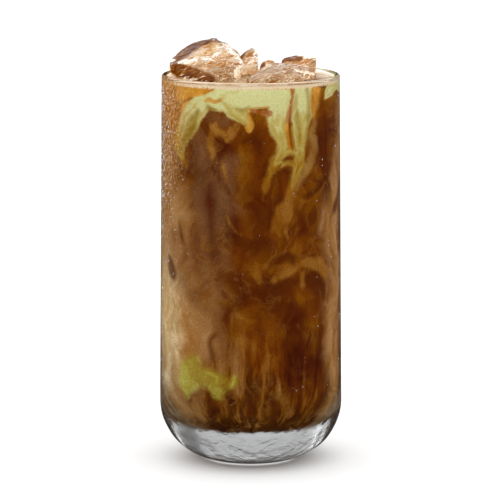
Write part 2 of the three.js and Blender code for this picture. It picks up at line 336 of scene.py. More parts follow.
STREAKS["rust"] = [
    [(0, 136.3, 0.7), (5, 135.4, 1.1), (12, 134.8, 1.3)],
    [(28.4, 143, 0.3), (27.6, 138.6, 0.4), (26, 134.6, 1), (24.6, 131.4, 0.9)],
    [(104, 137, 0.5), (110, 136, 1), (117, 137.4, 0.5)],
    [(168, 135.8, 0.4), (172, 130.4, 0.9), (170, 125.4, 0.4)],
    [(188, 139.6, 0.4), (193, 137, 1), (198, 135.4, 0.4)],
]
STREAKS["crease"] = [
    [(27, 137, 0.1), (26.2, 133, 0.2), (26, 129, 0.3), (26.6, 125, 0.35), (27.8, 121.6, 0.3),
     (29.4, 119, 0.1)],
    [(21, 117.2, 0.2), (24, 118.2, 0.5), (28, 117.8, 0.3)],
    [(50, 143.8, 0.5), (56, 143.2, 0.6)],
    [(103.6, 124, 0.2), (104, 119.4, 0.5), (103, 116, 0.2)],
    [(211.6, 121.6, 0.2), (212, 117.4, 0.5), (211, 113.6, 0.2)],
]
STREAKS["toffee"] = [
    [(44.4, 134, 0.9), (46, 130.7, 1.2), (43, 126.4, 1.3), (45, 122.9, 1.8), (45, 119.2, 2), (41, 115, 1.7),
     (36, 111.2, 1.1), (31, 106.6, 0.6)],
    [(88, 117, 0.8), (86.5, 111, 1.2), (89, 105, 0.6)],
    [(151, 112, 0.9), (149, 105, 1.2), (143, 97, 0.6)],
    [(233, 130, 0.7), (231, 123, 1.1), (231, 115, 0.5)],
]
STREAKS["mauve"] = [
    [(-27, 133.2, 0.8), (-20, 132.2, 1.6), (-13, 133, 1)],
    [(-34, 127, 2), (-38, 121, 3.5), (-37, 113, 5), (-31, 103, 6), (-27, 93, 3.5)],
    [(-12, 118, 2), (-15, 109, 4), (-12, 99, 3)],
    [(112, 126, 2), (118, 116, 4.5), (110, 104, 5), (114, 92, 3)],
    [(186, 120, 2), (192, 108, 4.5), (184, 96, 4)],
    [(240, 128, 2), (236, 116, 4), (244, 104, 4.5), (238, 90, 3)],
]
STREAKS["tan"] = [
    [(-26, 128.6, 0.3), (-20, 128, 0.5), (-15, 127, 0.2)],
    [(-17, 126.4, 0.2), (-13, 128.6, 0.3), (-8, 131, 0.2)],
    [(-16, 124.8, 0.2), (-12, 127.2, 0.3), (-8, 129.6, 0.2)],
    [(-25, 129, 1.5), (-27, 124, 1.5), (-25, 120, 0.7), (-26, 118, 0.4)],
    [(-19, 116.6, -0.2), (-17, 112.6, 0), (-16, 109.7, -0.2)],
    [(28, 107.5, 0.9), (25.6, 104.6, 1.1), (24.6, 101.3, 1.8), (21.4, 97.7, 3.8), (18.8, 94, 3.4),
     (18.8, 91.4, 2.3), (22.6, 88.6, 0.7)],
    [(10.5, 110, 1.2), (8.6, 106.5, 1.4), (8.2, 102.5, 0.5)],
    [(28, 104.5, 0.6), (38, 101.5, 0.6), (47, 103, 0.4), (56, 107, 0.3)],
    [(9.5, 78.5, 0.3), (15, 81.3, 0.4), (24, 83.6, 0.3)],
    [(14.5, 72.8, 0.8), (20, 74.6, 1.2), (27.5, 76.5, 1.5), (34, 78.5, 1.8), (42, 78.4, 2), (51, 77, 2.4),
     (57, 73, 2)],
    [(3, 80.3, 1.1), (4, 76.6, 1.5), (6, 73.2, 0.6)],
    [(35, 74.8, 1.1), (35.5, 70.3, 0.6)],
    [(-16, 97, -0.4), (-11, 92, -0.1), (-6, 90, -0.4)],
    [(-8, 60, 0.5), (0, 58, 0.8), (8, 59.5, 0.4)],
    [(120, 126, 0.8), (126, 119, 1.4), (122, 111, 0.6)],
    [(160, 84, 0.8), (170, 86, 1.4), (180, 82, 1), (186, 76, 0.4)],
    [(204, 92, 1.2), (208, 84, 1.8), (203, 75, 0.8)],
    [(100, 70, 0.8), (108, 73, 1.2), (118, 70, 0.6)],
]
STREAKS["coffee"] = [
    [(-14, 123, 2.5), (-6, 126, 4.5), (3, 126.5, 6), (9, 121, 6.5), (8, 113, 5.5), (6, 104, 3.5),
     (3, 96, 2)],
    [(52, 139, 1.5), (54.5, 131, 3.6), (55, 121, 3.8), (57, 113, 2.2)],
    [(23, 111, 1.8), (21, 105, 2.2), (14, 97, 2.5), (9, 90, 3.5), (4, 84, 3)],
    [(33, 97, 1.5), (38, 91, 3), (36, 85, 2)],
    [(17, 70, 3), (30, 70, 4.5), (44, 70.5, 3.6)],
    [(20, 62, 3), (34, 60, 4.5), (46, 61, 3)],
    [(18, 47, 2), (27, 50, 4), (34, 53, 2)],
    [(-4, 66, 2.5), (6, 58, 4.5), (13, 49, 5.5), (21, 40, 5), (30, 33, 3.5)],
    [(30, 48, 4), (40, 42, 5), (47, 34, 4.5), (50, 27, 2.5)],
    [(-9, 95, 2.5), (-7, 87, 3.5), (-6, 79, 2.5)],
    [(-28, 108, 0.2), (-28, 103, 1.2), (-27, 97, 0.8), (-26, 89, 0.8), (-25, 81, 0.2)],
    [(20.5, 113.4, 1.6), (20, 109, 2.6), (19, 104.6, 2.2), (17, 100.6, 1)],
    [(-4, 56, 2), (2, 48, 3.5), (5, 40, 3)],
    [(30, 36, 3.5), (36, 29, 4), (40, 24, 3)],
    [(152, 128, 3), (155, 118, 4.5), (152, 104, 3)],
    [(190, 128, 3), (187, 112, 5), (182, 96, 3)],
    [(100, 104, 3), (96, 92, 4), (102, 78, 3)],
    [(200, 68, 4), (186, 62, 5), (192, 50, 3)],
]
STREAKS["dark"] = [
    [(57, 134, 0.6), (57.5, 126, 1.3), (58, 118, 1.4), (60, 112.7, 1)],
    [(62, 113.7, 0.9), (57, 109, 1.1), (47, 105, 1.3), (38, 103.3, 1.1)],
    [(-5, 124.5, 0.8), (1, 125.5, 1.4), (7, 123, 1)],
    [(10, 117, 0.6), (8, 112, 1)],
    [(-53, 93.8, 0.4), (-51, 88.3, 0.8), (-48, 84.8, 0.4)],
    [(84, 108, 0.4), (76, 100, 1.4), (70, 97, 1.8), (66, 95.5, 0.8), (62, 91, 0.3)],
    [(-66, 79, 0.6), (-63.5, 76.4, 2.2), (-61.5, 73.8, 2.4), (-60, 71.6, 0.9)],
    [(13, 79.5, 1), (20, 81, 1.8), (27, 81.5, 1.8), (29, 79, 1)],
    [(17.5, 70.3, 0.9), (22, 71.4, 1.2), (30, 72.3, 1.1)],
    [(40, 72.4, 1.4), (48, 71.8, 2), (53.5, 69, 1.6), (54.5, 64, 0.8)],
    [(23, 48.5, 1.2), (28, 50, 1.8), (32, 52, 1)],
    [(56, 27, 1.1), (55, 23.7, 1.3)],
    [(-23, 52.6, 0.3), (-27, 49.4, 0.4), (-24, 42.4, 0.3)],
    [(-7, 87.5, 1.6), (-2, 86.5, 2.2), (3, 87, 1.4)],
    [(0, 29.5, 1.1), (0, 23, 1.9)],
    [(-29, 29.7, 1.1), (-27, 23.4, 2.6)],
    [(16, 26.6, 1.5), (18, 21, 1.9)],
]
STREAKS["milk"] = [
    [(-80, 140, 3), (-74, 122, 6), (-62, 104, 8), (-56, 84, 10), (-50, 64, 11), (-46, 48, 10), (-54, 34, 7),
     (-56, 20, 5)],
    [(-30, 118, 2), (-33, 108, 3), (-27, 96, 5), (-30, 84, 6), (-28, 72, 4)],
    [(-22, 84, 1), (-24, 69, 2), (-28, 54, 3), (-20, 44, 2)],
    [(112, 134, 4), (118, 112, 7), (108, 88, 8), (116, 62, 9), (124, 40, 6)],
    [(166, 112, 3), (158, 92, 6), (170, 66, 8), (160, 46, 6)],
    [(214, 128, 3), (228, 104, 7), (216, 80, 8), (230, 56, 8), (222, 36, 5)],
]
STREAKS["pale"] = [
    [(-70, 144, 9), (-70, 128, 9), (-78, 112, 6), (-84, 94, 5), (-88, 80, 4), (-82, 62, 4), (-76, 46, 3)],
    [(-52, 64, 1.5), (-48, 56, 4), (-43, 46, 6), (-46, 35, 4)],
    [(86, 144, 3), (82, 126, 3), (74, 108, 4.5), (66, 92, 6), (72, 76, 5), (67, 58, 6), (64, 46, 4),
     (70, 30, 4), (66, 19, 3)],
    [(146, 100, 1), (143, 82, 3), (150, 64, 3), (144, 48, 1)],
    [(196, 118, 1), (199, 98, 2.5), (192, 74, 3), (198, 54, 1)],
]
STREAKS["cream"] = [
    [(-84, 82, 2.5), (-76, 72, 5), (-70, 60, 6.5), (-67, 50, 6.5), (-67, 41, 4), (-70, 33, 2)],
    [(128, 58, 2), (134, 48, 4), (130, 38, 3)],
]
STREAKS["grey"] = [
    [(-104, 18, 1.5), (-92, 20, 4), (-82, 21, 4.6), (-74, 18.5, 4.2), (-64, 16.6, 2.4), (-54, 15.6, 0.4)],
    [(104, 18, 1), (92, 20, 3.4), (84, 20, 3.8), (76, 18, 3.4), (64, 16.6, 1)],
]


# Meshes


def add_object(name, vertices, faces, smooth=True):
    mesh = bpy.data.meshes.new(name)
    mesh.from_pydata([tuple(v) for v in vertices], [], faces)
    mesh.validate()
    if smooth:
        mesh.shade_smooth()
    piece = bpy.data.objects.new(name, mesh)
    bpy.context.scene.collection.objects.link(piece)
    return piece


def store(piece, name, values):
    layer = piece.data.attributes.new(name, "FLOAT", "POINT")
    layer.data.foreach_set("value", np.asarray(values, np.float32))


def share(value, start, end):
    """0 at start, 1 at end and even between them."""
    return min(1, max(0, (value - start) / (end - start)))


def wave(point, scale, seed):
    return noise.noise(Vector(point) * scale + Vector((seed, 2 * seed, 3 * seed)))


def arc(centre_radius, centre_height, reach_out, reach_up, start, end, steps):
    turns = np.radians(np.linspace(start, end, steps + 1))
    return [
        (centre_radius + reach_out * math.cos(t), centre_height + reach_up * math.sin(t)) for t in turns
    ]


def outward(angles):
    """Level directions (x, y) at angles in degrees."""
    turns = np.radians(angles)
    return np.stack([np.sin(turns), -np.cos(turns)], axis=-1)


def ring(radius, height, sides):
    return np.column_stack([radius * outward(np.arange(sides) * 360 / sides), np.full(sides, height)])


def ring_faces(low, high, sides):
    """Faces between two rings, from the first vertex of each."""
    steps = [(i, (i + 1) % sides) for i in range(sides)]
    return [(low + i, low + j, high + j, high + i) for i, j in steps]


def revolve(profile, sides):
    """Vertices and faces of a profile of (radius, height) that starts and ends on the axis."""
    start, *middle, end = profile
    rings = [ring(radius, height, sides) for radius, height in middle]
    vertices = np.concatenate([[(0, 0, start[1])], *rings, [(0, 0, end[1])]])
    last = len(vertices) - 1
    top = last - sides
    faces = [(0, 1 + (i + 1) % sides, 1 + i) for i in range(sides)]
    for low in range(1, top, sides):
        faces += ring_faces(low, low + sides, sides)
    faces += [(top + i, top + (i + 1) % sides, last) for i in range(sides)]
    return vertices, faces


# Tumbler


def outer_radius(height):
    rise = (height - BASE_ROUND_HEIGHT) / (GLASS_HEIGHT - BASE_ROUND_HEIGHT)
    return SHOULDER_RADIUS + (RIM_RADIUS - SHOULDER_RADIUS) * rise


BOWL_HEIGHT = BASE_THICKNESS + FLOOR_ROUND
BOWL_RADIUS = outer_radius(BOWL_HEIGHT) - WALL - FLOOR_ROUND


def floor_profile(clearance, flat_steps, round_steps):
    """The floor inside the glass and the round that leads up to the wall."""
    bend = FLOOR_ROUND - clearance
    floor = [(BOWL_RADIUS * i / flat_steps, BASE_THICKNESS + clearance) for i in range(flat_steps)]
    return floor + arc(BOWL_RADIUS, BOWL_HEIGHT, bend, bend, -90, 0, round_steps)


def make_tumbler():
    lip = WALL / 2
    lip_height = GLASS_HEIGHT - lip
    base_reach = SHOULDER_RADIUS - FOOT_RADIUS
    foot = [(FOOT_RADIUS * i / FOOT_STEPS, 0) for i in range(FOOT_STEPS)]
    outside = arc(FOOT_RADIUS, BASE_ROUND_HEIGHT, base_reach, BASE_ROUND_HEIGHT, -90, 0, BASE_STEPS)
    outer_heights = np.linspace(BASE_ROUND_HEIGHT + ROW_MARGIN, lip_height - LIP_MARGIN, WALL_ROWS)
    rim = arc(outer_radius(lip_height) - lip, lip_height, lip, lip, 0, 180, LIP_STEPS)
    inner_heights = np.linspace(lip_height - LIP_MARGIN, BOWL_HEIGHT + ROW_MARGIN, WALL_ROWS)
    profile = (
        foot
        + outside
        + [(outer_radius(h), h) for h in outer_heights]
        + rim
        + [(outer_radius(h) - WALL, h) for h in inner_heights]
        + floor_profile(0, *FLOOR_STEPS)[::-1]
    )
    vertices, faces = revolve(profile, GLASS_SIDES)
    for vertex in vertices:
        fade = share(vertex[2], *RIPPLE_HEIGHTS) * share(vertex[2], *RIPPLE_OFF_FOOT)
        vertex[:2] *= 1 + RIPPLE * fade * wave(vertex, RIPPLE_SCALE, RIPPLE_SEED)
    return add_object("tumbler", vertices * MM, faces)


# Streaks


def smooth_line(points, steps=10):
    """A Catmull-Rom line through the points."""
    p = np.array([points[0], *points, points[-1]], float)
    t = np.linspace(0, 1, steps, endpoint=False)[:, None]
    pieces = []
    for a, b, c, d in zip(p, p[1:], p[2:], p[3:]):
        square = 2 * a - 5 * b + 4 * c - d
        cube = 3 * b - a - 3 * c + d
        pieces.append(0.5 * (2 * b + (c - a) * t + square * t**2 + cube * t**3))
    return np.concatenate([*pieces, p[-1:]])


def streak_field(lines, angles, heights):
    """How far each wall point lies inside the nearest streak, in millimetres, negative outside."""
    radius = outer_radius(FILL_LEVEL) - WALL
    field = np.full(len(angles), FAR_OUTSIDE)
    for points in lines:
        line = smooth_line(points)
        low = line[:, 1].min() - STREAK_REACH
        high = line[:, 1].max() + STREAK_REACH
        near = np.nonzero((heights > low) & (heights < high))[0]
        for (a0, h0, w0), (a1, h1, w1) in zip(line, line[1:]):
            across = (angles[near] - a0 + 180) % 360 - 180
            x = np.radians(across) * radius
            y = heights[near] - h0
            dx = math.radians(a1 - a0) * radius
            dy = h1 - h0
            t = np.clip((x * dx + y * dy) / max(dx * dx + dy * dy, 1e-9), 0, 1)
            inside = w0 + (w1 - w0) * t - np.hypot(x - t * dx, y - t * dy)
            field[near] = np.maximum(field[near], inside)
    return field


def store_tones(piece, angles, heights):
    for tone, lines in STREAKS.items():
        store(piece, tone, streak_field(lines, angles, heights))


# Drink


def drink_radius(height):
    if height >= BOWL_HEIGHT:
        return outer_radius(height) - WALL + INTO_WALL
    return BOWL_RADIUS + math.sqrt((FLOOR_ROUND + INTO_WALL) ** 2 - (BOWL_HEIGHT - height) ** 2)


def surface_tree(piece):
    mesh = piece.data
    return BVHTree.FromPolygons([v.co / MM for v in mesh.vertices], [p.vertices for p in mesh.polygons])


def pocket_height(x, y, ice_trees):
    """The height of the drink's surface, which dips under ice and creeps up its sides."""
    height = FILL_LEVEL
    for tree in ice_trees:
        below = tree.ray_cast(Vector((x, y, UNDER_ICE)), Vector((0, 0, 1)))[0]
        above = tree.ray_cast(Vector((x, y, OVER_ICE)), Vector((0, 0, -1)))[0]
        if below and above and below.z < FILL_LEVEL < above.z:
            return below.z
        away = tree.find_nearest(Vector((x, y, FILL_LEVEL)))[3]
        height = max(height, FILL_LEVEL + MENISCUS * max(0, 1 - away / CREEP_AT_ICE) ** 2)
    return height


def drink_profile(brim):
    rows = list(np.arange(BOWL_HEIGHT + COARSE_ROW, MATCHA_LOWEST, COARSE_ROW))
    rows += list(np.arange(MATCHA_LOWEST, FILL_LEVEL - ROW_GAP, FINE_ROW))
    rings = [brim * (1 - i / TOP_RINGS) for i in range(1, TOP_RINGS)]
    profile = floor_profile(-INTO_WALL, *DRINK_FLOOR_STEPS) + [(drink_radius(h), h) for h in rows]
    return profile + [(brim, FILL_LEVEL + MENISCUS), *((r, FILL_LEVEL) for r in rings), (0, FILL_LEVEL)]


def make_drink(ice_blocks):
    brim = drink_radius(FILL_LEVEL)
    vertices, faces = revolve(drink_profile(brim), DRINK_SIDES)
    radii = np.hypot(vertices[:, 0], vertices[:, 1])
    on_top = (vertices[:, 2] > FILL_LEVEL - ROW_GAP) & (radii < brim - ROW_GAP)
    ice_trees = [surface_tree(block) for block in ice_blocks]
    for i in np.nonzero(on_top)[0]:
        x, y = vertices[i, :2]
        rise = MENISCUS * max(0, 1 - (brim - radii[i]) / CREEP_AT_GLASS) ** 2
        swell = SWELL * wave((x, y, 0), SWELL_SCALE, SWELL_SEED)
        vertices[i, 2] = pocket_height(x, y, ice_trees) + rise + swell
    drink = add_object("drink", vertices * MM, faces)
    for face in drink.data.polygons:
        face.material_index = int(all(on_top[v] for v in face.vertices))

    # On the surface, the streaks run on inwards from the wall.
    angles = np.degrees(np.arctan2(vertices[:, 0], -vertices[:, 1]))
    heights = np.where(on_top, FILL_LEVEL + (brim - radii), vertices[:, 2])
    store_tones(drink, angles, heights)
    return drink


# Matcha


def cut_along_outline(inside, angles, heights, across):
    """Points of (angle, height, depth) and faces of the part of a grid where inside is above 0."""
    corners, points, faces = {}, [], []

    def corner(a, b):
        """The grid corner a, or the place on the outline between the corners a and b."""
        key = (min(a, b), max(a, b))
        if key not in corners:
            t = 0 if a == b else inside[a] / (inside[a] - inside[b])
            angle = angles[a] + t * (angles[b] - angles[a])
            height = heights[a] + t * (heights[b] - heights[a])
            corners[key] = len(points)
            points.append((angle, height, inside[a] if a == b else 0))
        return corners[key]

    for row in range(len(inside) // across - 1):
        for column in range(across - 1):
            first = row * across + column
            quad = (first, first + 1, first + across + 1, first + across)
            if max(inside[i] for i in quad) <= 0:
                continue
            face = []
            for a, b in zip(quad, quad[1:] + quad[:1]):
                if inside[a] > 0:
                    face.append(corner(a, a))
                if (inside[a] > 0) != (inside[b] > 0):
                    face.append(corner(a, b) if inside[a] > 0 else corner(b, a))
            faces.append(tuple(face))
    return np.array(points), faces


def make_patch(name, tone, low, high):
    """The streaks of one tone as a thin layer on the wall, cut along their outline."""
    columns = np.linspace(-180, 180, DRINK_SIDES + 1)
    rows = np.arange(low, high, FINE_ROW)
    grid_angles, grid_heights = [g.ravel() for g in np.meshgrid(columns, rows)]
    inside = streak_field(STREAKS[tone], grid_angles, grid_heights) + PATCH_MARGIN
    points, faces = cut_along_outline(inside, grid_angles, grid_heights, len(columns))

    angles, heights, depths = points.T
    directions = outward(angles)
    radii = np.array([drink_radius(h) for h in heights])
    swell = PATCH_SWELL * np.clip(depths / PATCH_ROUND, 0, 1)
    front = np.column_stack([directions * (radii + swell)[:, None], heights])
    back = np.column_stack([directions * (radii - PATCH_BACK)[:, None], heights])
    count = len(points)
    used = {(a, b) for face in faces for a, b in zip(face, face[1:] + face[:1])}
    sides = [(b, a, a + count, b + count) for a, b in used if (b, a) not in used]
    backs = [tuple(i + count for i in reversed(face)) for face in faces]
    piece = add_object(name, np.concatenate([front, back]) * MM, faces + backs + sides)
    piece.data.set_sharp_from_angle(angle=PATCH_CREASE)
    store_tones(piece, np.tile(angles, 2), np.tile(heights, 2))
    return piece


# Condensation


def bead_dome():
    dome = bmesh.new()
    bmesh.ops.create_icosphere(dome, subdivisions=2, radius=1)
    points = np.array([v.co for v in dome.verts])
    faces = np.array([[v.index for v in f.verts] for f in dome.faces])
    dome.free()
    return points, faces


def make_condensation():
    """Beads of water on the cold wall, thickest on its misted side."""
    draws = np.random.default_rng(BEAD_SEED)
    dome_points, dome_faces = bead_dome()
    up = np.array([0, 0, 1])
    points, faces = [], []
    while len(points) < BEADS:
        angle = draws.uniform(-180, 180)
        height = draws.uniform(*BEAD_HEIGHTS)
        chance = draws.uniform()
        size = draws.lognormal(*BEAD_SIZE)
        misted = math.exp(-(((angle - MISTED_ANGLE) / MISTED_SPREAD) ** 2)) * share(height, *MISTED_HEIGHTS)
        if chance > STRAY_BEADS + (1 - STRAY_BEADS) * misted:
            continue
        width = size * draws.uniform(*BEAD_WIDTH)
        length = size * draws.uniform(*BEAD_LENGTH)
        out = np.array([*outward(angle), 0])
        side = np.array([*outward(angle + 90), 0])
        local = dome_points * [width, size * BEAD_DEPTH, length]
        place = out * (outer_radius(height) + BEAD_LIFT * size) + up * height
        faces.append(dome_faces + len(points) * len(dome_points))
        points.append(place + local @ np.array([side, out, up]))
    return add_object("condensation", np.concatenate(points) * MM, np.concatenate(faces).tolist())


# Ice


def distance_to_line(points, start, end):
    span = end - start
    along = np.clip((points - start) @ span / (span @ span), 0, 1)
    return np.linalg.norm(points - start - along[:, None] * span, axis=1)


def depth_in_bands(points, bands):
    """1 along the middle of the nearest band, 0 at its edge and negative outside."""
    depths = [
        1 - distance_to_line(points, np.array(start), np.array(end)) / half for start, end, half in bands
    ]
    return np.max(depths, axis=0)


def broken_block(node):
    """The hull of a block's corners with bevelled edges, in millimetres, and its edges before the bevel."""
    shell = bmesh.new()
    for corner in ICE_CORNERS[node]:
        shell.verts.new(corner)
    bmesh.ops.convex_hull(shell, input=shell.verts)
    bmesh.ops.delete(shell, geom=[v for v in shell.verts if not v.link_faces], context="VERTS")
    bmesh.ops.dissolve_limit(shell, angle_limit=ICE_FLAT, verts=shell.verts, edges=shell.edges)
    edges = np.array([[v.co for v in edge.verts] for edge in shell.edges])
    bmesh.ops.bevel(shell, geom=shell.edges[:], offset=ICE_BEVEL, segments=2, affect="EDGES")
    mesh = bpy.data.meshes.new(node)
    shell.to_mesh(mesh)
    shell.free()
    return mesh, edges


def melt(piece):
    """An even, softened mesh in place of the broken block."""
    remesh = piece.modifiers.new("even", "REMESH")
    remesh.mode = "VOXEL"
    remesh.voxel_size = min(ICE_GRAIN, max(piece.dimensions) / ICE_FEWEST_CELLS)
    smooth = piece.modifiers.new("melt", "SMOOTH")
    smooth.iterations = 2
    graph = bpy.context.evaluated_depsgraph_get()
    piece.data = bpy.data.meshes.new_from_object(piece.evaluated_get(graph))
    piece.modifiers.clear()


def rippled(mesh, seed):
    """The points of a mesh, moved out and in by slanting ripples and broad dents."""
    points = np.array([v.co for v in mesh.vertices])
    normals = np.array([v.normal for v in mesh.vertices])
    calm = min(1, np.ptp(points, axis=0).min() / ICE_FULL_SIZE)
    lean = Matrix.Rotation(ICE_LEAN, 3, "Y")
    dent, dent_scale, dent_seed = ICE_DENTS
    for i, (point, normal) in enumerate(zip(points, normals)):
        turned = lean @ Vector(point)
        drawn = (turned.x * ICE_DRAWN, turned.y, turned.z)
        ripple = sum(size * wave(drawn, scale, seed + shift) for size, scale, shift in ICE_RIPPLES)
        points[i] = point + normal * calm * (ripple + dent * wave(point, dent_scale, seed + dent_seed))
    return points


def make_ice(node, seed):
    """A broken block with melted edges and rippled faces."""
    mesh, edges = broken_block(node)
    piece = bpy.data.objects.new(node + "_block", mesh)
    bpy.context.scene.collection.objects.link(piece)
    melt(piece)
    points = rippled(piece.data, seed)
    piece.data.vertices.foreach_set("co", (points * MM).astype(np.float32).ravel())
    piece.data.update()
    piece.data.shade_smooth()
    store(piece, "edge", np.min([distance_to_line(points, *edge) for edge in edges], axis=0))
    store(piece, "stain", depth_in_bands(points, ICE_STAINS[node]))
    # Bands whitened as frost and as painted glints.
    store(piece, "frost_and_glint", depth_in_bands(points, ICE_FROST_AND_GLINTS[node]))
    return piece


# Shaders


def linear(colour):
    """Linear RGBA of a colour written as in a paint program, such as "6a3a0c"."""
    parts = [int(colour[i : i + 2], 16) / 255 for i in (0, 2, 4)]
    return (*[c / 12.92 if c <= 0.04045 else ((c + 0.055) / 1.055) ** 2.4 for c in parts], 1)


def pigment(colour):
    """The pigment that shows as a colour behind glass, which darkens and deepens it."""
    shown = [max(c - GLASS_GLARE, 0.0005) for c in linear(colour)[:3]]
    return (*[c / (THROUGH_GLASS + TRAPPED * c) for c in shown], 1)


def lit(colour):
    """The pigment that shows as a colour in the open, under the bright studio."""
    return (*[c / OPEN_LIGHT for c in linear(colour)[:3]], 1)


class Shader:
    """A node material written as nested calls. An argument is a number, a colour or a socket."""

    def __init__(self, name):
        self.material = bpy.data.materials.new(name)
        self.material.use_nodes = True
        self.nodes = self.material.node_tree.nodes

    def put(self, socket, value):
        if isinstance(value, bpy.types.NodeSocket):
            self.material.node_tree.links.new(value, socket)
        else:
            socket.default_value = value

    def fill(self, node, inputs):
        for name, value in inputs.items():
            self.put(node.inputs[name.replace("_", " ")], value)
        return node

    def surface(self, **inputs):
        self.fill(self.nodes["Principled BSDF"], inputs)
        return self.material

    def add(self, kind, settings=None, **inputs):
        node = self.nodes.new(kind)
        for name, value in (settings or {}).items():
            setattr(node, name, value)
        return self.fill(node, inputs)

    def join(self, kind, a, b, **settings):
        node = self.add(kind, settings)
        self.put(node.inputs[0], a)
        self.put(node.inputs[1], b)
        return node.outputs[0]

    def maths(self, operation, a, b=0.0, clamp=False):
        return self.join("ShaderNodeMath", a, b, operation=operation, use_clamp=clamp)

    def plus(self, a, b):
        return self.maths("ADD", a, b)

    def minus(self, a, b):
        return self.maths("SUBTRACT", a, b)

    def times(self, a, b):
        return self.maths("MULTIPLY", a, b)

    def vector(self, operation, a, b=(0, 0, 0)):
        return self.join("ShaderNodeVectorMath", a, b, operation=operation)

    def stretch(self, vector, *scales):
        return self.vector("MULTIPLY", vector, scales)

    def place(self):
        """Object coordinates in millimetres."""
        return self.stretch(self.add("ShaderNodeTexCoord").outputs["Object"], 1 / MM, 1 / MM, 1 / MM)

    def axis(self, vector, name):
        return self.add("ShaderNodeSeparateXYZ", Vector=vector).outputs[name]

    def attribute(self, name):
        return self.add("ShaderNodeAttribute", {"attribute_name": name}).outputs["Fac"]

    def noise(self, vector, scale, detail=3.0, roughness=0.5):
        inputs = {"Vector": vector, "Scale": scale, "Detail": detail, "Roughness": roughness}
        return self.add("ShaderNodeTexNoise", **inputs).outputs["Fac"]

    def stir(self, vector, scale, amount):
        """Coordinates pushed about by noise, for marbling."""
        node = self.add("ShaderNodeTexNoise", Vector=vector, Scale=scale, Detail=2.0)
        push = self.vector("SUBTRACT", node.outputs["Color"], (0.5, 0.5, 0.5))
        return self.vector("ADD", vector, self.stretch(push, amount, amount, amount))

    def sway(self, value, amount, middle=0.5):
        """Noise as a swing to either side of its middle."""
        return self.times(self.minus(value, middle), amount)

    def between(self, value, low, high, smooth=True):
        """0 at low, 1 at high."""
        settings = {"interpolation_type": "SMOOTHSTEP" if smooth else "LINEAR"}
        node = self.add("ShaderNodeMapRange", settings, Value=value, From_Min=low, From_Max=high)
        return node.outputs["Result"]

    def ramp(self, value, stops, tint=pigment):
        node = self.add("ShaderNodeValToRGB", Fac=value)
        elements = node.color_ramp.elements
        while len(elements) < len(stops):
            elements.new(1)
        for element, (position, colour) in zip(elements, stops.items()):
            element.position = position
            element.color = tint(colour)
        return node.outputs["Color"]

    def mix(self, weight, a, b):
        node = self.add("ShaderNodeMix", {"data_type": "RGBA"}, Factor=weight)
        self.put(node.inputs[6], a)
        self.put(node.inputs[7], b)
        return node.outputs[2]

    def glaze(self, strength, weight, a, b):
        """A mix in which b covers a no more than strength says."""
        return self.mix(self.times(weight, strength), a, b)

    def bump(self, height, strength, distance):
        node = self.add("ShaderNodeBump", Height=height, Strength=strength, Distance=distance)
        return node.outputs["Normal"]


